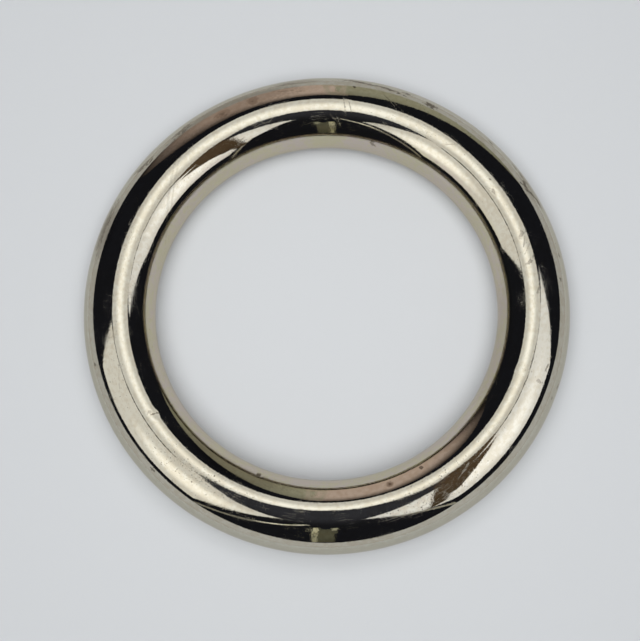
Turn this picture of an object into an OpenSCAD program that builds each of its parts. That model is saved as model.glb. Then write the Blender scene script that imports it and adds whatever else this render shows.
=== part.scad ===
/* [Ring] */
// Diameter of the hole, straight across the inside of the ring
inner_d = 38; // [16:0.5:100]
// Diameter of the round bar that the ring is made from
bar_d = 8; // [2:0.1:14]

/* [Hidden] */

// Radius of the bar's centre line, measured from the ring's axis
centre_line_r = (inner_d + bar_d) / 2;
// Facets of the preview, round the ring and round the bar
ring_facets = 192;
bar_facets = 72;
// Polished nickel plate over the whole bar
nickel_colour = [0.80, 0.77, 0.70];

// Round section of the bar, set out from the axis that it turns about
module bar_section() {
    translate([centre_line_r, 0])
        circle(d = bar_d, $fn = bar_facets);
}

// One closed loop of bar with no gap, flange or flat, dressed and polished all over.
// Its axis is Z and its centre is the origin, so it lies flat on its lower side.
module ring() {
    color(nickel_colour)
        rotate_extrude($fn = ring_facets)
            bar_section();
}

ring();
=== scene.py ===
import math

import bmesh
import bpy
from mathutils import Matrix, Vector, noise


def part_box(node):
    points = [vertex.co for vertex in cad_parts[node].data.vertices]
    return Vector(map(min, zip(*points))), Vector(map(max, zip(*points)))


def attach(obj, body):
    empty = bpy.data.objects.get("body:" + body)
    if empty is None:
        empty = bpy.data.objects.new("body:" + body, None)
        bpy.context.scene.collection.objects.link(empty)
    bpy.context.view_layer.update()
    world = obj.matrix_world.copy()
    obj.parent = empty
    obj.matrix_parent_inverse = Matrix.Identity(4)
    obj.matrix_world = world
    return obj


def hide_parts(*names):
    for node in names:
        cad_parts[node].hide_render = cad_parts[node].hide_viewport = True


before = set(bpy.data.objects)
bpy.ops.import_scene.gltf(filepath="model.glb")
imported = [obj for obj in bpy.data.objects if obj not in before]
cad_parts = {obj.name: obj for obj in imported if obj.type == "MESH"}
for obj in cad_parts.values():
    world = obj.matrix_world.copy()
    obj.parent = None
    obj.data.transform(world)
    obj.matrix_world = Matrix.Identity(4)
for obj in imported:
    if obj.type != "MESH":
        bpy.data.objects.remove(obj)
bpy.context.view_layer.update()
ringLow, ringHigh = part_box("ring")
barRadius = (ringHigh.z - ringLow.z) / 2
ringRadius = (ringHigh.x - ringLow.x) / 2 - barRadius    # axis to the middle of the bar
print("frame loaded, bar", round(barRadius * 2000, 2), "mm on a", round(ringRadius * 2000, 2), "mm circle")


# small helpers for node trees and for pointing from the ring's middle

def feed(tree, value, socket):
    if isinstance(value, bpy.types.NodeSocket):
        tree.links.new(value, socket)
    elif value is not None:
        socket.default_value = value


def addNode(tree, kind, x, y, **settings):
    made = tree.nodes.new(kind)
    made.location = (x, y)
    for name, value in settings.items():
        setattr(made, name, value)
    return made


def mathNode(tree, operation, x, y, first, second=None, third=None):
    made = addNode(tree, "ShaderNodeMath", x, y, operation=operation)
    for socket, value in zip(made.inputs, (first, second, third)):
        feed(tree, value, socket)
    return made.outputs[0]


def vectorNode(tree, operation, x, y, first, second=None):
    made = addNode(tree, "ShaderNodeVectorMath", x, y, operation=operation)
    feed(tree, first, made.inputs[0])
    feed(tree, second, made.inputs[3 if operation == "SCALE" else 1])
    return made.outputs["Value" if operation in {"LENGTH", "DISTANCE"} else "Vector"]


def rangeNode(tree, x, y, value, fromLow, fromHigh, toLow=0.0, toHigh=1.0):
    made = addNode(tree, "ShaderNodeMapRange", x, y, interpolation_type="SMOOTHSTEP")
    for socket, number in zip(made.inputs, (value, fromLow, fromHigh, toLow, toHigh)):
        feed(tree, number, socket)
    return made.outputs[0]


def mixColour(tree, x, y, factor, under, over):
    made = addNode(tree, "ShaderNodeMix", x, y, data_type="RGBA")
    feed(tree, factor, made.inputs["Factor"])
    feed(tree, under, made.inputs[6])
    feed(tree, over, made.inputs[7])
    return made.outputs[2]


def newMaterial(name):
    made = bpy.data.materials.new(name)
    made.use_nodes = True
    made.node_tree.nodes.clear()
    return made, made.node_tree


def newGroup(name, inputs, output):
    tree = bpy.data.node_groups.new(name, "ShaderNodeTree")
    for title, kind in inputs:
        tree.interface.new_socket(title, in_out="INPUT", socket_type=kind)
    for title in output:
        tree.interface.new_socket(title, in_out="OUTPUT", socket_type="NodeSocketFloat")
    start = addNode(tree, "NodeGroupInput", -1100, 0)
    end = addNode(tree, "NodeGroupOutput", 900, 0)
    return tree, start.outputs, end.inputs


def useGroup(tree, group, x, y, **values):
    made = addNode(tree, "ShaderNodeGroup", x, y, node_tree=group)
    for title, value in values.items():
        feed(tree, value, made.inputs[title])
    return made


def newObject(name, bm):
    mesh = bpy.data.meshes.new(name)
    bm.to_mesh(mesh)
    bm.free()
    made = bpy.data.objects.new(name, mesh)
    bpy.context.scene.collection.objects.link(made)
    return made


def skyPoint(zenith, azimuth, reach):    # degrees from straight up, degrees round from +X, ring radii away
    tilt, turn = math.radians(zenith), math.radians(azimuth)
    side = math.sin(tilt)
    return Vector((side * math.cos(turn), side * math.sin(turn), math.cos(tilt))) * reach * ringRadius


# camera, placed as in the photograph: 640 x 641 pixels, ring a little above and right of the middle

cameraSet = {
    "reach": 7.0,            # ring radii from the ring's middle
    "leanX": 1.04,           # degrees off straight up, to the right
    "leanY": -12.44,         # degrees off straight up, towards the bottom edge
    "ringPixels": 206.78,    # radius of the bar's circle in the picture
    "longSide": 641,
    "offRight": 6.06,        # pixels from the picture's middle to the ring's middle
    "offUp": 11.14,
    "sensor": 36,            # mm across
    "clip": (0.005, 20),     # metres, near and far
}


def makeCamera(spec):
    lean = Vector((math.sin(math.radians(spec["leanX"])), math.sin(math.radians(spec["leanY"])), 0))
    back = Vector((lean.x, lean.y, math.sqrt(1 - lean.length_squared)))
    right = Vector((0, 1, 0)).cross(back).normalized()
    up = back.cross(right)
    aim = (right * -spec["offRight"] + up * -spec["offUp"]) * ringRadius / spec["ringPixels"]
    spot = back * spec["reach"] * ringRadius
    look = (spot - aim).normalized()
    right = Vector((0, 1, 0)).cross(look).normalized()
    up = look.cross(right)
    data = bpy.data.cameras.new("camera")
    data.sensor_width = spec["sensor"]
    data.lens = spec["ringPixels"] * spec["reach"] * data.sensor_width / spec["longSide"]
    data.clip_start, data.clip_end = spec["clip"]
    camera = bpy.data.objects.new("camera", data)
    bpy.context.scene.collection.objects.link(camera)
    turn = Matrix((right, up, look)).transposed()
    camera.matrix_world = Matrix.Translation(spot) @ turn.to_4x4()
    bpy.context.scene.camera = camera


makeCamera(cameraSet)
print("camera set")


# pale table, even sky, a soft lamp overhead and a small one low over the hole; a lamp's place is in degrees
# off straight up, degrees round and ring radii away

stageSet = {
    "floorColour": (0.645, 0.665, 0.685, 1),
    "floorRough": 0.9,                       # matt, with no gloss
    "floorSize": 6.0,                        # metres across
    "skyColour": (0.558, 0.577, 0.591, 1),   # what the camera sees past the table
    "skyLevel": 0.20,                        # what the sky gives the table
    "lampFrom": (13, 267, 8),
    "lampSpread": 42,                        # degrees across, wide for a soft shadow
    "lampLevel": 2.14,                       # watts per square metre
    "nearFrom": (3, 264, 3.2),
    "nearSize": 0.6,                         # ring radii
    "nearLevel": 0.042,                      # watts
}


def makeStage(spec):
    bm = bmesh.new()
    bmesh.ops.create_grid(bm, x_segments=1, y_segments=1, size=spec["floorSize"] / 2,
                          matrix=Matrix.Translation((0, 0, ringLow.z)))
    floor = newObject("floor", bm)
    material, tree = newMaterial("table_paper")
    shader = addNode(tree, "ShaderNodeBsdfPrincipled", 0, 0)
    shader.inputs["Base Color"].default_value = spec["floorColour"]
    shader.inputs["Roughness"].default_value = spec["floorRough"]
    shader.inputs["Specular IOR Level"].default_value = 0
    tree.links.new(shader.outputs[0], addNode(tree, "ShaderNodeOutputMaterial", 300, 0).inputs[0])
    floor.data.materials.append(material)

    world = bpy.data.worlds.new("pale_room")
    world.use_nodes = True
    tree = world.node_tree
    tree.nodes.clear()
    path = addNode(tree, "ShaderNodeLightPath", -600, 200)
    seen = path.outputs["Is Camera Ray"]
    for kind in ("Is Glossy Ray", "Is Transmission Ray"):
        seen = mathNode(tree, "MAXIMUM", -400, 200, seen, path.outputs[kind])
    light = addNode(tree, "ShaderNodeBackground", -200, 0)
    light.inputs["Strength"].default_value = spec["skyLevel"]
    light.inputs["Color"].default_value = (1, 1, 1, 1)
    pale = addNode(tree, "ShaderNodeBackground", -200, -150)
    pale.inputs["Color"].default_value = spec["skyColour"]
    blend = addNode(tree, "ShaderNodeMixShader", 0, 0)
    tree.links.new(seen, blend.inputs[0])
    tree.links.new(light.outputs[0], blend.inputs[1])
    tree.links.new(pale.outputs[0], blend.inputs[2])
    tree.links.new(blend.outputs[0], addNode(tree, "ShaderNodeOutputWorld", 200, 0).inputs[0])
    bpy.context.scene.world = world

    far = bpy.data.lights.new("top_lamp", "SUN")
    far.angle = math.radians(spec["lampSpread"])
    far.energy = spec["lampLevel"]
    near = bpy.data.lights.new("near_lamp", "POINT")
    near.shadow_soft_size = spec["nearSize"] * ringRadius
    near.energy = spec["nearLevel"]
    for data, place in ((far, "lampFrom"), (near, "nearFrom")):
        spot = skyPoint(*spec[place])
        lamp = bpy.data.objects.new(data.name, data)
        bpy.context.scene.collection.objects.link(lamp)
        lamp.matrix_world = Matrix.Translation(spot) @ spot.to_track_quat("Z", "Y").to_matrix().to_4x4()
        lamp.visible_glossy = False


makeStage(stageSet)
print("table and light set")


# soft boxes and cards that the polish mirrors, each corner (degrees off straight up, degrees round,
# ring radii away); a level runs from its first value to its second between two angles off the hot spot,
# which stand after the spot's own place

cardSet = {
    "top_box": {
        "level": (1.55, 0.88), "colour": (1, 0.995, 0.97), "hot": (11.8, 90, 1, 15),
        "middle": (15, 95, 7),
        "corners": [(34.6, 92, 7.2), (34.5, 102, 7.4), (32, 110, 7.8), (29.5, 119, 6.8), (27.5, 140, 6.8),
                    (25, 161, 7), (20.6, 176.5, 7.2), (17.5, 192.5, 7.2), (13.8, 198.5, 5.6),
                    (9.6, 189, 4.5), (6, 176, 4.4), (3.6, 107, 4.4), (3.6, 22, 4.8), (7.6, 342, 5.2),
                    (12.6, 350, 5.2), (16.5, 351, 5), (18.9, 2.3, 5.8), (22.7, 16.3, 5.4),
                    (26.9, 21, 5.6), (30.3, 44, 6.6), (30, 54, 6.3), (30, 64.5, 6.5), (32.2, 74, 6.9)],
    },
    "left_box": {
        "level": (1.65, 0.95), "colour": (1, 0.99, 0.96), "hot": (46, 221, 5, 20),
        "middle": (48, 208, 13),
        "corners": [(18, 158, 8), (14, 178, 8), (11, 196, 8), (14, 204, 7.5), (22.7, 231, 8.5),
                    (26.8, 242.5, 7.9), (30.8, 252.5, 5.8), (41.4, 244, 6.4), (55, 236, 8.4),
                    (74.5, 229, 11), (74.5, 212, 14), (74, 196, 14), (72, 184, 14), (49, 175, 10.5),
                    (37, 168, 8), (28.2, 160, 6.8)],
    },
    "right_box": {
        "level": (1.6, 1.08), "colour": (1, 1.005, 1.03), "hot": (43, 330, 6, 26),
        "middle": (42, 332, 13),
        "corners": [(13, 350, 6.9), (15, 5, 7), (20, 20, 6.8), (34.4, 28.2, 5.8), (49.2, 11, 6.4),
                    (69, 356, 14), (69.5, 342, 14), (69.5, 326, 14), (70, 309.5, 14), (55, 301, 10),
                    (42.7, 293, 7.3), (26.9, 281.8, 7.9), (21.3, 302, 7), (15, 330, 7)],
    },
    "brown_strip": {
        "level": (0.11, 0.08), "colour": (1, 0.68, 0.42), "hot": (24, 330, 6, 30),
        "middle": (28.4, 321, 4.9),
        "corners": [(58.5, 301, 6.4), (61, 306.4, 6.4), (52.5, 311, 6.2), (44.5, 317, 6),
                    (38.7, 322.6, 5.3), (30.8, 331.5, 4.9), (24.4, 341, 4.7), (18.6, 352.8, 4.6),
                    (11.5, 351.6, 4.6), (9.5, 353, 4.6), (7.5, 357, 4.6), (10, 334.3, 4.6),
                    (23.6, 316.5, 5), (35.4, 310.2, 5.2), (45.8, 305, 5.8)],
    },
    "pink_card": {
        "level": (0.60, 0.02), "colour": (1.0, 0.80, 0.72), "hot": (76, 97, 17, 39),
        "middle": (70, 112, 15),
        "corners": [(45, 89, 15), (43, 105, 15), (44, 117, 15), (50, 124, 15), (58, 129, 15), (70, 134, 15),
                    (90, 138, 15), (90, 112, 15), (90, 89, 15)],
    },
    "olive_card": {
        "level": (0.37, 0.22), "colour": (1.0, 0.99, 0.76), "hot": (84, 82, 12, 45),
        "middle": (78, 68, 15),
        "corners": [(46, 89, 15), (52, 80, 15), (60, 71, 15), (67, 62, 15), (73, 54, 15), (81, 45, 15),
                    (90, 38, 15), (90, 65, 15), (90, 89, 15)],
    },
    "tan_card": {
        "level": (0.47, 0.20), "colour": (1.0, 0.88, 0.735), "hot": (80, 89, 14, 45),
        "middle": (70, 89, 14.5),
        "corners": [(44.6, 87, 14.5), (44.6, 91, 14.5), (90, 91.5, 14.5), (90, 86.5, 14.5)],
    },
    "front_card": {
        "level": (0.12, 0.09), "colour": (1, 1, 0.70), "hot": (62, 268, 3, 20),
        "middle": (64, 268, 8.5),
        "corners": [(45.5, 265.2, 8.5), (45.5, 272, 8.5), (86, 271.5, 8.5), (86, 265.6, 8.5)],
    },
    "front_edge": {
        "level": (0.66, 0.40), "colour": (1, 0.97, 0.70), "hot": (48, 265.2, 4, 24),
        "middle": (60, 265.9, 8.3),
        "corners": [(42, 264.9, 8.3), (42, 266.6, 8.3), (86, 266.7, 8.3), (86, 265.4, 8.3)],
    },
    "front_spot": {
        "level": (0.45, 0.10), "colour": (1, 1, 0.75), "hot": (46, 271.6, 1, 7),
        "middle": (50, 271.6, 8.2),
        "corners": [(42.5, 270.6, 8.2), (42.5, 272.6, 8.2), (58, 272.2, 8.2), (58, 270.8, 8.2)],
    },
    "dusk_card": {    # faint, behind the boxes
        "level": (0.045, 0.014), "colour": (0.88, 0.94, 1.2), "hot": (1, 270, 8, 36),
        "middle": (16, 270, 15),
        "corners": [(14, 90, 15), (20, 150, 15), (20, 205, 15), (36, 238, 15), (42, 254, 15),
                    (43.5, 268, 15), (42, 286, 15), (36, 304, 15), (20, 335, 15), (20, 30, 15)],
    },
}
ribbonSet = {    # a fourth number is the width there in degrees
    "left_seam": {
        "level": 0.02,
        "points": [(26, 158, 6.9, 1.6), (21.2, 176.5, 7.0, 2.5), (18.1, 192.5, 6.9, 2.9),
                   (14.6, 199, 5.5, 3.0)],
    },
    "right_seam": {
        "level": 0.02,
        "points": [(27.6, 22, 5.4, 1.5), (23.3, 16.3, 5.3, 2.1), (19.5, 2.3, 5.6, 2.4),
                   (17, 351, 4.95, 2.2)],
    },
    "left_edge": {
        "level": 0.28,
        "points": [(38, 259, 13.8, 2), (52, 247, 13.8, 4), (66, 238.5, 13.8, 5), (84, 230, 13.8, 5)],
    },
    "left_wire": {
        "level": 1.4,
        "points": [(33, 263, 13.6, 1.0), (42, 254.5, 13.6, 2.0), (52, 246, 13.6, 1.2)],
    },
    "right_edge": {
        "level": 0.42,
        "points": [(38, 292, 13.8, 2.5), (52, 299, 13.8, 5), (66, 303.5, 13.8, 6), (84, 308, 13.8, 6)],
    },
}
ribbonColour = (1, 0.97, 0.85, 1)
hoodSet = {"reach": 18, "level": 0.013, "colour": (0.82, 0.88, 1.2, 1), "steps": (48, 60)}
collarSet = {    # upright band round the ring, from the table up, in ring radii
    "reach": 1.8, "top": 0.19, "steps": 96,
    "level": (0.61, 0.53), "colour": (0.98, 0.99, 1, 1), "hot": (90, 270, 30, 130),
    "dip": 0.06, "dipAt": 274, "dipPower": 8,    # lower at the front; a higher power is narrower
}
secondMirror = 0.35    # share of its level that a card keeps in a mirror of a mirror


def glossOnly(piece):
    piece.visible_camera = False
    piece.visible_diffuse = False
    piece.visible_shadow = False


def glowMaterial(name, colour, level, hot=None):
    material, tree = newMaterial(name)
    glow = addNode(tree, "ShaderNodeEmission", 0, 0)
    glow.inputs["Color"].default_value = colour
    if hot is not None:
        zenith, azimuth, near, far = hot
        place = addNode(tree, "ShaderNodeTexCoord", -1000, 0)
        heading = vectorNode(tree, "NORMALIZE", -800, 0, place.outputs["Object"])
        gap = vectorNode(tree, "DISTANCE", -600, 0, heading, skyPoint(zenith, azimuth, 1 / ringRadius))
        spans = [2 * math.sin(math.radians(angle) / 2) for angle in (near, far)]
        level = rangeNode(tree, -400, 0, gap, *spans, *level)
    path = addNode(tree, "ShaderNodeLightPath", -600, -300)
    # one mirror, not two
    first = mathNode(tree, "LESS_THAN", -400, -300, path.outputs["Glossy Depth"], 1.5)
    first = mathNode(tree, "MULTIPLY_ADD", -200, -300, first, 1 - secondMirror, secondMirror)
    tree.links.new(mathNode(tree, "MULTIPLY", -200, 0, first, level), glow.inputs["Strength"])
    tree.links.new(glow.outputs[0], addNode(tree, "ShaderNodeOutputMaterial", 200, 0).inputs[0])
    return material


def makeCard(name, spec):
    bm = bmesh.new()
    corners = [bm.verts.new(skyPoint(*corner)) for corner in spec["corners"]]
    bmesh.ops.contextual_create(bm, geom=corners)
    poked = bmesh.ops.poke(bm, faces=bm.faces)
    poked["verts"][0].co = skyPoint(*spec["middle"])
    card = newObject(name, bm)
    card.data.materials.append(glowMaterial(name, (*spec["colour"], 1), spec["level"], spec["hot"]))
    glossOnly(card)


def makeRibbon(name, spec):
    bm = bmesh.new()
    edges = []
    for side in (-0.5, 0.5):
        chain = [bm.verts.new(skyPoint(zenith + side * wide, azimuth, reach))
                 for zenith, azimuth, reach, wide in spec["points"]]
        edges += [bm.edges.new(pair) for pair in zip(chain, chain[1:])]
    bmesh.ops.bridge_loops(bm, edges=edges)
    ribbon = newObject(name, bm)
    ribbon.data.materials.append(glowMaterial(name, ribbonColour, spec["level"]))
    glossOnly(ribbon)


def makeHood(spec):
    bm = bmesh.new()
    roundSteps, upSteps = spec["steps"]
    bmesh.ops.create_uvsphere(bm, u_segments=roundSteps, v_segments=upSteps,
                              radius=spec["reach"] * ringRadius)
    bmesh.ops.bisect_plane(bm, geom=bm.verts[:] + bm.edges[:] + bm.faces[:], plane_co=(0, 0, ringLow.z),
                           plane_no=(0, 0, 1), clear_inner=True)
    hood = newObject("black_hood", bm)
    hood.data.materials.append(glowMaterial("black_hood", spec["colour"], spec["level"]))
    glossOnly(hood)


def makeCollar(spec):
    bm = bmesh.new()
    bmesh.ops.create_circle(bm, segments=spec["steps"], radius=spec["reach"] * ringRadius,
                            matrix=Matrix.Translation((0, 0, ringLow.z)))
    made = bmesh.ops.extrude_edge_only(bm, edges=bm.edges)
    rise = Vector((0, 0, spec["top"] * ringRadius - ringLow.z))
    front = skyPoint(90, spec["dipAt"], 1).normalized()
    for vert in [part for part in made["geom"] if isinstance(part, bmesh.types.BMVert)]:
        facing = max(0, Vector((vert.co.x, vert.co.y, 0)).normalized().dot(front))
        vert.co += rise
        vert.co.z -= spec["dip"] * ringRadius * facing ** spec["dipPower"]
    collar = newObject("pale_collar", bm)
    collar.data.materials.append(glowMaterial("pale_collar", spec["colour"], spec["level"], spec["hot"]))
    glossOnly(collar)


for cardName, cardSpec in cardSet.items():
    makeCard(cardName, cardSpec)
for ribbonName, ribbonSpec in ribbonSet.items():
    makeRibbon(ribbonName, ribbonSpec)
makeHood(hoodSet)
makeCollar(collarSet)
print("soft boxes set:", len(cardSet), "cards,", len(ribbonSet), "ribbons, a hood and a collar")


# nickel plate: a mark's place is in degrees round the ring and degrees across from the top, outwards
# positive; then come length and width in mm, degrees that the length turns off the bar's run, and strength

nickelSet = {
    "colour": (0.605, 0.58, 0.495, 1),
    "warmColour": (0.555, 0.515, 0.42, 1),
    "flankShadeColour": (0.50, 0.48, 0.40, 1),      # outer side: painted shade, darker where the polish mirrors the shaded table beside the ring
    "hollowColours": ((0.55, 0.51, 0.365, 1), (0.555, 0.49, 0.435, 1)),      # inner side, in two tones
    "edgeTint": (0.80, 0.77, 0.72, 1),         # dip of the metal seen at a slant
    "stainColour": (0.11, 0.085, 0.06, 1),
    "tarnishColour": (0.15, 0.11, 0.075, 1),
    "hollowAt": (-2.4, -3.4),        # mm across from the top, where the inner tones set in
    "flankAt": (3.3, 4.7),           # mm across from the top, where the outer side's painted shade sets in
    "leastFlank": 0.7,               # share of the outer side's painted shade where it is patchy
    "warmShares": (0.5, 0.8),        # of tone and mottle in the warm colour's clouds
    "roughness": (0.03, 0.085),      # clean polish, handled patches
    "addedRoughness": {"hairline": 0.14, "scuff": 0.13, "stain": 0.22},
    "brush": 0.8,                    # microns, fine lines along the bar
    "grain": 1.9,                    # microns, pebble of the plating
    "pits": (0.9, 3.0),              # microns, finest roughness on clean and on worn bar
    "wornBy": {"soot": 0.4, "handling": 0.15},      # 1 takes the worn bar's pits in full
    "hairlineDepth": 0.9,            # microns
    "stainHeight": 1.5,              # microns
    "patterns": {                    # cells per radian round, cells per bar radius across, seed, detail
        "tone": (5, 1.6, 3.0, 3),
        "smudge": (9, 2.6, 9.0, 4),
        "brush": (17, 26, 15.0, 2),
        "grain": (60, 17, 24.0, 3),
        "pits": (165, 29, 33.0, 1),
        "mottle": (42, 9, 61.0, 4),
        "hair": (16, 5, 41.0, 1),
        "hairToo": (7, 9, 55.0, 1),
    },
    "levels": {                      # of a pattern, between which its effect goes from none to full
        "handled": (0.46, 0.64),
        "smudged": (0.42, 0.74),
        "warm": (0.52, 0.80),
        "blotched": (0.78, 1.22),
        "patchy": (0.30, 0.60),
        "streaky": (0.2, 0.7),
        "hairline": (0.007, 0.002),      # off the pattern's middle level
    },
    "specks": {"from": 0.77, "rise": 0.06, "strength": 0.75},      # level of the pits where one starts
    "sootSpecks": 0.15,              # how much lower that level is in soot
    "grime": 0.3,                    # stain that lies in a scratch
    "markEdge": (1.1, 0.5),          # of a mark's half size, where it starts and where it is full
    "ragged": (3.2, 2.8, -3.0),      # pull of grain and of mottle on a mark's edge, and their offset
    "tarnishRagged": 0.2,            # share of that pull on tarnish
    "stains": [
        (69, 48, 0.9, 0.5, 0, 0.8), (85, 51, 0.7, 0.45, 0, 0.8), (62.5, 41, 1.5, 0.9, 0, 0.8),
        (82.5, 30, 0.4, 0.4, 0, 0.9), (109.5, 23, 0.6, 0.4, 0, 0.4), (118, 22, 0.8, 0.5, 0, 0.4),
        (74, -64, 0.7, 0.9, 0, 0.6), (11, -4, 1.3, 0.5, 50, 0.5), (3, 2, 1.4, 0.4, 15, 0.4),
        (37, -4, 0.5, 0.3, 0, 0.5), (33.5, -11, 0.9, 0.5, 30, 0.4), (-21, 22, 0.5, 1.2, 10, 0.4),
        (-17, 29, 0.9, 0.5, 20, 0.5), (-20, 70, 1.0, 0.6, 0, 0.8), (-23, 64, 0.4, 0.4, 0, 0.6),
        (-111, -49, 1.0, 0.8, 0, 0.8), (-71, -32, 0.5, 0.5, 0, 0.7), (-60.5, -36, 0.6, 0.5, 0, 0.7),
        (195, 48, 0.5, 0.6, 0, 0.7), (224.5, 47, 0.7, 0.5, 0, 0.7), (140.5, 45, 1.4, 0.7, 20, 0.5),
        (160, 52, 5.0, 1.1, 0, 0.5), (143, 48, 2.6, 0.7, 24, 0.55), (27.8, 51, 3.2, 0.4, -24, 0.8),
        (31.8, 49, 2.2, 0.4, 36, 0.75), (30.2, 45, 0.9, 0.6, 0, 0.7), (33, 56, 3.2, 0.6, 0, 0.5),
        (128, 44, 3.0, 0.9, -12, 0.45),
        (81, 48.5, 4.0, 0.5, 8, 0.8), (74, 43.5, 3.4, 0.5, 10, 0.75), (26, 56, 1.6, 0.4, 10, 0.6),
        (45, 52, 0.9, 0.4, 20, 0.6), (-146.4, -13, 0.3, 1.5, 18, 0.6), (99, 46, 1.8, 0.6, 0, 0.4),
        (-147.4, -9, 0.7, 0.5, 0, 0.35), (10, 14, 0.6, 0.4, 0, 0.5), (19, -6, 1.2, 0.5, 25, 0.4),
        (-14, 33, 0.5, 0.5, 0, 0.5), (6, 45, 0.5, 0.4, 0, 0.5), (12, 55, 0.6, 0.4, 0, 0.5),
    ],
    "tarnish": [                     # soft brownish patches
        (117, 28, 20, 3.0, 0, 0.42), (-119, -36, 17, 2.4, 0, 0.42), (161, 46, 7, 3.4, 0, 0.38),
        (-12, -62, 20, 3.6, 0, 0.16), (30, 50, 4, 2.0, 0, 0.2), (109.3, 24, 1.9, 1.7, 0, 0.65),
        (118, 23, 2.8, 1.5, 0, 0.6), (-71, -32, 1.1, 0.9, 0, 0.6), (98, 47, 6, 1.3, 0, 0.3),
    ],
    "scuffs": [
        (84, -7.5, 1.0, 3.0, 14, 0.8), (86, -31, 0.9, 1.8, -20, 0.7), (-21, -11, 2.2, 1.5, 0, 0.4),
        (0, -27, 3.0, 1.5, 0, 0.7), (-171, 18, 0.9, 1.8, 0, 0.3),
        (-170, -36, 0.7, 1.5, 0, 0.25), (-166, 22, 1.6, 1.0, 0, 0.35), (157, 15, 0.7, 1.4, 0, 0.3),
        (71, 12, 1.4, 2.0, 30, 0.6), (16, -3, 2.0, 0.9, 30, 0.6), (-51.5, 7, 2.6, 1.3, -20, 0.6),
        (159, -28, 1.0, 1.2, 0, 0.5), (38, 32, 2.4, 1.2, 0, 0.4), (-30, -34, 2.2, 1.2, 0, 0.45),
    ],
    "scratches": [
        (146, -30, 12.5, 0.34, -29, 0.4), (143.6, -30, 10.5, 0.26, -30, 0.35),
        (86, -31, 1.6, 0.16, 62, 0.9), (88, -25, 1.3, 0.14, 40, 0.8), (15, -2, 1.5, 0.16, 40, 0.8),
        (17, -4, 1.6, 0.16, 22, 0.8), (18.5, -5, 1.3, 0.16, 55, 0.7), (-51.5, 7, 2.2, 0.16, -18, 0.9),
        (-50, 5, 1.8, 0.16, -25, 0.8), (72, 14, 2.4, 0.18, 38, 0.9), (70, 11, 1.8, 0.16, 30, 0.8),
        (84.5, -6, 2.6, 0.2, 78, 0.9), (82.8, -9, 2.0, 0.16, 70, 0.8),
        (100, 26, 3.2, 0.16, 12, 0.6), (52, -6, 1.6, 0.14, -35, 0.6), (-160, 10, 2.4, 0.14, 18, 0.5),
    ],
    "soot": [                        # specked stretches, larger and soft
        (-125, 3, 14, 3.6, -8, 1.0), (-60, 10, 15, 4.0, 0, 0.9),
        (14, -4, 6, 2.6, 0, 0.6), (-20, -6, 6, 2.4, 0, 0.6), (62, 10, 14, 4.0, 0, 0.7),
        (35, 8, 9, 3.5, 0, 0.6), (-165, 10, 12, 5.0, 0, 0.6), (165, 14, 9, 4.0, 0, 0.6),
        (130, -50, 16, 4.0, 0, 0.6), (-165, -55, 14, 4.0, 0, 0.6), (20, 50, 20, 2.5, 0, 0.6),
    ],
}


def noiseGroup():    # runs right round the ring and the bar with no join
    tree, given, wanted = newGroup("bar_noise", [
        ("Vector", "NodeSocketVector"), ("Round", "NodeSocketFloat"), ("Across", "NodeSocketFloat"),
        ("Seed", "NodeSocketFloat"), ("Detail", "NodeSocketFloat")], ["Value"])
    axes = addNode(tree, "ShaderNodeSeparateXYZ", -900, 100)
    tree.links.new(given["Vector"], axes.inputs[0])
    flat = addNode(tree, "ShaderNodeCombineXYZ", -700, 200)
    tree.links.new(axes.outputs["X"], flat.inputs["X"])
    tree.links.new(axes.outputs["Y"], flat.inputs["Y"])
    away = vectorNode(tree, "LENGTH", -500, 100, flat.outputs[0])
    heading = vectorNode(tree, "NORMALIZE", -500, 250, flat.outputs[0])
    heading = vectorNode(tree, "SCALE", -300, 250, heading, given["Round"])
    out = mathNode(tree, "SUBTRACT", -300, 100, away, ringRadius)
    out = mathNode(tree, "MULTIPLY", -100, 100, out, 1 / barRadius)
    out = mathNode(tree, "MULTIPLY_ADD", 100, 100, out, given["Across"], given["Seed"])
    lift = addNode(tree, "ShaderNodeCombineXYZ", 300, 100)
    tree.links.new(out, lift.inputs["Z"])
    place = vectorNode(tree, "ADD", 300, 250, heading, lift.outputs[0])
    high = mathNode(tree, "MULTIPLY", -300, -100, axes.outputs["Z"], 1 / barRadius)
    high = mathNode(tree, "MULTIPLY", -100, -100, high, given["Across"])
    cloud = addNode(tree, "ShaderNodeTexNoise", 600, 100, noise_dimensions="4D")
    cloud.inputs["Scale"].default_value = 1
    tree.links.new(place, cloud.inputs["Vector"])
    tree.links.new(high, cloud.inputs["W"])
    tree.links.new(given["Detail"], cloud.inputs["Detail"])
    tree.links.new(cloud.outputs[0], wanted["Value"])
    return tree


def placeGroup():    # mm along the bar's middle line, mm across it from the top
    tree, given, wanted = newGroup("bar_place", [("Vector", "NodeSocketVector")], ["Round", "Across"])
    axes = addNode(tree, "ShaderNodeSeparateXYZ", -900, 100)
    tree.links.new(given["Vector"], axes.inputs[0])
    flat = addNode(tree, "ShaderNodeCombineXYZ", -700, 200)
    tree.links.new(axes.outputs["X"], flat.inputs["X"])
    tree.links.new(axes.outputs["Y"], flat.inputs["Y"])
    away = vectorNode(tree, "LENGTH", -500, 100, flat.outputs[0])
    out = mathNode(tree, "SUBTRACT", -300, 100, away, ringRadius)
    across = mathNode(tree, "ARCTAN2", -100, 0, out, axes.outputs["Z"])
    along = mathNode(tree, "ARCTAN2", -100, 200, axes.outputs["Y"], axes.outputs["X"])
    tree.links.new(mathNode(tree, "MULTIPLY", 200, 200, along, ringRadius * 1000), wanted["Round"])
    tree.links.new(mathNode(tree, "MULTIPLY", 200, 0, across, barRadius * 1000), wanted["Across"])
    return tree


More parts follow.
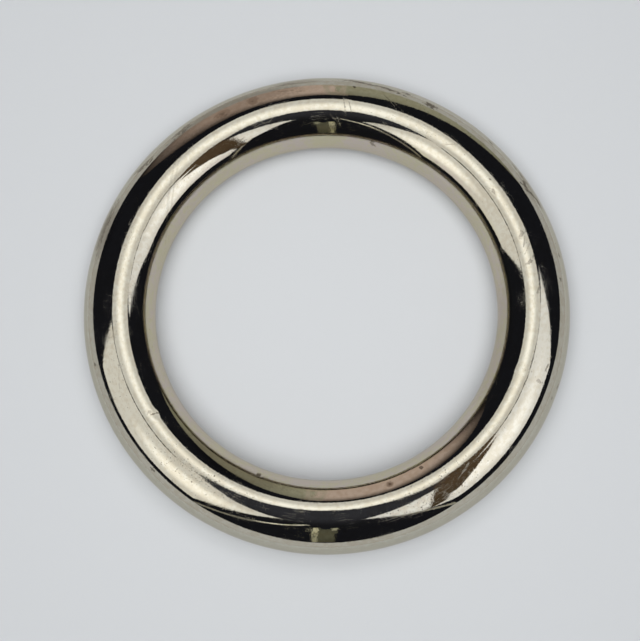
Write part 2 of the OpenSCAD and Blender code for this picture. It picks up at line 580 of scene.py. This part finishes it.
def markGroup(edge):    # one ragged oval
    titles = ("Round", "Across", "Ragged", "At Round", "At Across", "Length", "Width", "Turn", "Strength")
    tree, given, wanted = newGroup("bar_mark", [(title, "NodeSocketFloat") for title in titles], ["Mask"])
    along = mathNode(tree, "SUBTRACT", -800, 200, given["Round"], given["At Round"])
    across = mathNode(tree, "SUBTRACT", -800, 0, given["Across"], given["At Across"])
    gap = addNode(tree, "ShaderNodeCombineXYZ", -600, 100)
    tree.links.new(along, gap.inputs["X"])
    tree.links.new(across, gap.inputs["Y"])
    turned = addNode(tree, "ShaderNodeVectorRotate", -400, 100, rotation_type="Z_AXIS", invert=True)
    tree.links.new(gap.outputs[0], turned.inputs["Vector"])
    tree.links.new(given["Turn"], turned.inputs["Angle"])
    size = addNode(tree, "ShaderNodeCombineXYZ", -400, -100)
    tree.links.new(given["Length"], size.inputs["X"])
    tree.links.new(given["Width"], size.inputs["Y"])
    size.inputs["Z"].default_value = 1
    shape = vectorNode(tree, "DIVIDE", -200, 100, turned.outputs[0], size.outputs[0])
    reach = vectorNode(tree, "LENGTH", 0, 100, shape)
    reach = mathNode(tree, "ADD", 200, 100, given["Ragged"], reach)
    mask = rangeNode(tree, 400, 100, reach, *edge)
    tree.links.new(mathNode(tree, "MULTIPLY", 650, 100, mask, given["Strength"]), wanted["Mask"])
    return tree


def makeNickel(spec):
    material, tree = newMaterial("nickel_plate")
    barNoise, barPlace, barMark = noiseGroup(), placeGroup(), markGroup(spec["markEdge"])
    where = addNode(tree, "ShaderNodeTexCoord", -2600, 0).outputs["Object"]
    levels, added = spec["levels"], spec["addedRoughness"]

    pattern = {}
    for step, (name, (along, across, seed, detail)) in enumerate(spec["patterns"].items()):
        made = useGroup(tree, barNoise, -2200, 800 - step * 200, Vector=where, Round=along, Across=across,
                        Seed=seed, Detail=detail)
        pattern[name] = made.outputs["Value"]

    spot = useGroup(tree, barPlace, -2200, -900, Vector=where)
    grainPull, mottlePull, centring = spec["ragged"]
    rough = mathNode(tree, "MULTIPLY_ADD", -1900, -900, pattern["grain"], grainPull, centring)
    rough = mathNode(tree, "MULTIPLY_ADD", -1750, -900, pattern["mottle"], mottlePull, rough)

    def marks(entries, y, ragged):
        total = None
        for step, (roundAt, acrossAt, length, width, turn, strength) in enumerate(entries):
            roundAt = (roundAt + 180) % 360 - 180
            made = useGroup(tree, barMark, -1600 + step * 60, y - step * 40, Round=spot.outputs["Round"],
                            Across=spot.outputs["Across"], Ragged=ragged, Length=length / 2,
                            Width=width / 2, Turn=math.radians(turn), Strength=strength)
            made.inputs["At Round"].default_value = math.radians(roundAt) * ringRadius * 1000
            made.inputs["At Across"].default_value = math.radians(acrossAt) * barRadius * 1000
            if total is None:
                total = made.outputs[0]
            else:
                total = mathNode(tree, "MAXIMUM", -1400 + step * 60, y - step * 40, total, made.outputs[0])
        return total

    stain = marks(spec["stains"], -1200, rough)
    scuff = marks(spec["scuffs"], -2600, rough)
    scratch = marks(spec["scratches"], -3800, rough)
    soot = marks(spec["soot"], -4800, rough)
    softer = mathNode(tree, "MULTIPLY", -1750, -5600, rough, spec["tarnishRagged"])
    tarnish = marks(spec["tarnish"], -5600, softer)

    # hairlines are thin level lines of a pattern, kept only where the bar was handled
    handled = rangeNode(tree, -1800, 600, pattern["smudge"], *levels["handled"])
    lines = []
    for y, name in ((-200, "hair"), (-400, "hairToo")):
        off = mathNode(tree, "SUBTRACT", -1800, y, pattern[name], 0.5)    # off the middle level
        off = mathNode(tree, "ABSOLUTE", -1600, y, off)
        lines.append(rangeNode(tree, -1400, y, off, *levels["hairline"]))
    hairline = mathNode(tree, "MAXIMUM", -1200, -300, *lines)
    hairline = mathNode(tree, "MULTIPLY", -1000, -300, hairline, handled)
    hairline = mathNode(tree, "MAXIMUM", -800, -300, hairline, scratch)
    # specks, close together in the sooty stretches
    speck = spec["specks"]
    least = mathNode(tree, "MULTIPLY_ADD", -1900, 0, soot, -spec["sootSpecks"], speck["from"])
    most = mathNode(tree, "ADD", -1750, 0, least, speck["rise"])
    fleck = rangeNode(tree, -1600, 0, pattern["pits"], least, most)
    fleck = mathNode(tree, "MULTIPLY", -1400, 0, fleck, speck["strength"])
    stain = mathNode(tree, "MAXIMUM", -800, -600, stain, fleck)
    grime = mathNode(tree, "MULTIPLY", -800, -750, scratch, spec["grime"])
    stain = mathNode(tree, "MAXIMUM", -650, -600, stain, grime)

    toneShare, mottleShare = spec["warmShares"]
    warmth = mathNode(tree, "MULTIPLY", -1400, 800, pattern["tone"], toneShare)
    warmth = mathNode(tree, "MULTIPLY_ADD", -1200, 800, pattern["mottle"], mottleShare, warmth)
    warmth = rangeNode(tree, -1000, 800, warmth, *levels["warm"])
    colour = mixColour(tree, -600, 800, warmth, spec["colour"], spec["warmColour"])
    blotch = mathNode(tree, "ADD", -1400, 1300, pattern["tone"], pattern["mottle"])
    blotch = rangeNode(tree, -1200, 1300, blotch, *levels["blotched"])
    blotch = mixColour(tree, -1000, 1300, blotch, *spec["hollowColours"])
    hollow = rangeNode(tree, -1000, 950, spot.outputs["Across"], *spec["hollowAt"])
    colour = mixColour(tree, -520, 900, hollow, colour, blotch)
    # painted shade: the outer side is darkened, in patches, for the shaded table that the polish mirrors
    flank = rangeNode(tree, -1000, 1000, spot.outputs["Across"], *spec["flankAt"])
    patchy = rangeNode(tree, -1000, 1150, pattern["mottle"], *levels["patchy"], spec["leastFlank"], 1.0)
    flank = mathNode(tree, "MULTIPLY", -800, 1000, flank, patchy)
    colour = mixColour(tree, -450, 800, flank, colour, spec["flankShadeColour"])
    colour = mixColour(tree, -380, 750, tarnish, colour, spec["tarnishColour"])
    colour = mixColour(tree, -300, 700, stain, colour, spec["stainColour"])

    dull = rangeNode(tree, -1000, 600, pattern["smudge"], *levels["smudged"], *spec["roughness"])
    dull = mathNode(tree, "MULTIPLY_ADD", -600, 400, hairline, added["hairline"], dull)
    streaky = rangeNode(tree, -1000, 250, pattern["brush"], *levels["streaky"])
    streaky = mathNode(tree, "MULTIPLY", -800, 250, scuff, streaky)
    dull = mathNode(tree, "MULTIPLY_ADD", -400, 400, streaky, added["scuff"], dull)
    dull = mathNode(tree, "MULTIPLY_ADD", -200, 400, stain, added["stain"], dull)

    # heights in microns
    height = mathNode(tree, "MULTIPLY", -600, 100, pattern["brush"], spec["brush"])
    height = mathNode(tree, "MULTIPLY_ADD", -450, 100, pattern["grain"], spec["grain"], height)
    worked = mathNode(tree, "MULTIPLY", -1100, -250, handled, spec["wornBy"]["handling"])
    specked = mathNode(tree, "MULTIPLY", -950, -100, soot, spec["wornBy"]["soot"])
    worked = mathNode(tree, "MAXIMUM", -800, -100, specked, worked)
    cleanPits, wornPits = spec["pits"]
    worked = mathNode(tree, "MULTIPLY_ADD", -650, -100, worked, wornPits - cleanPits, cleanPits)
    height = mathNode(tree, "MULTIPLY_ADD", -350, 0, pattern["pits"], worked, height)
    height = mathNode(tree, "MULTIPLY_ADD", -250, 100, hairline, -spec["hairlineDepth"], height)
    height = mathNode(tree, "MULTIPLY_ADD", -100, 100, stain, spec["stainHeight"], height)
    bump = addNode(tree, "ShaderNodeBump", 50, 100)
    bump.inputs["Strength"].default_value = 1
    bump.inputs["Distance"].default_value = 1e-6    # one micron
    tree.links.new(height, bump.inputs["Height"])

    shader = addNode(tree, "ShaderNodeBsdfPrincipled", 300, 400)
    shader.inputs["Metallic"].default_value = 1
    shader.inputs["Specular Tint"].default_value = spec["edgeTint"]
    tree.links.new(colour, shader.inputs["Base Color"])
    tree.links.new(dull, shader.inputs["Roughness"])
    tree.links.new(bump.outputs[0], shader.inputs["Normal"])
    tree.links.new(shader.outputs[0], addNode(tree, "ShaderNodeOutputMaterial", 600, 400).inputs[0])
    return material


# ring: one circle of bar section spun round the axis, then the soft waves and knocks of a handled ring

ringSet = {
    "ringSteps": 600,
    "barSteps": 160,
    "mergeShare": 1e-4,      # of the bar's radius, for closing the spin
    "skin": 1e-6,            # metres that the whole surface lies below the CAD's
    "waveSize": 0.0055,      # metres from crest to crest
    "waveDepth": 0.000030,   # metres
    "knocks": [              # degrees round, degrees across, mm wide, mm deep
        (-146, -15, 1.2, 0.030), (-147, -8, 0.9, 0.020), (-21, -11, 2.2, 0.018), (110, 23, 1.4, 0.020),
        (-71, -32, 1.1, 0.025), (84, -5, 1.6, 0.018), (62.5, 41, 1.4, 0.030), (-17, 29, 1.2, 0.010),
        (29.5, 47, 1.8, 0.030), (33.5, -11, 1.0, 0.015), (159, -28, 1.2, 0.02), (-111, -49, 1.0, 0.025),
    ],
}


def barPoint(roundAt, acrossAt):
    turn, lean = math.radians(roundAt), math.radians(acrossAt)
    away = ringRadius + barRadius * math.sin(lean)
    return Vector((away * math.cos(turn), away * math.sin(turn), barRadius * math.cos(lean)))


def makeRing(spec):
    bm = bmesh.new()
    stand = Matrix.Translation((ringRadius, 0, 0)) @ Matrix.Rotation(math.pi / 2, 4, "X")
    bmesh.ops.create_circle(bm, segments=spec["barSteps"], radius=barRadius, matrix=stand)
    bmesh.ops.spin(bm, geom=bm.verts[:] + bm.edges[:], cent=(0, 0, 0), axis=(0, 0, 1), angle=math.tau,
                   steps=spec["ringSteps"], use_merge=True)
    bmesh.ops.remove_doubles(bm, verts=bm.verts, dist=barRadius * spec["mergeShare"])
    bmesh.ops.recalc_face_normals(bm, faces=bm.faces)
    knocks = [(barPoint(roundAt, acrossAt), wide / 2000, deep / 1000)    # reach and depth in metres
              for roundAt, acrossAt, wide, deep in spec["knocks"]]
    for vert in bm.verts:
        middle = Vector((vert.co.x, vert.co.y, 0)).normalized() * ringRadius
        outward = (vert.co - middle).normalized()
        wave = 0.5 + 0.5 * noise.noise(vert.co / spec["waveSize"])
        depth = spec["skin"] + spec["waveDepth"] * wave
        for spot, reach, deep in knocks:
            gap = (vert.co - spot).length / reach
            if gap < 1:
                depth += deep * (1 - gap * gap) ** 2
        vert.co -= outward * depth
    for face in bm.faces:
        face.smooth = True
    piece = newObject("nickel_ring", bm)
    piece.data.materials.append(makeNickel(nickelSet))
    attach(piece, "root")
    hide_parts("ring")
    return piece


ring = makeRing(ringSet)
print("ring made:", len(ring.data.polygons), "faces")

bpy.context.scene.view_settings.view_transform = "Standard"
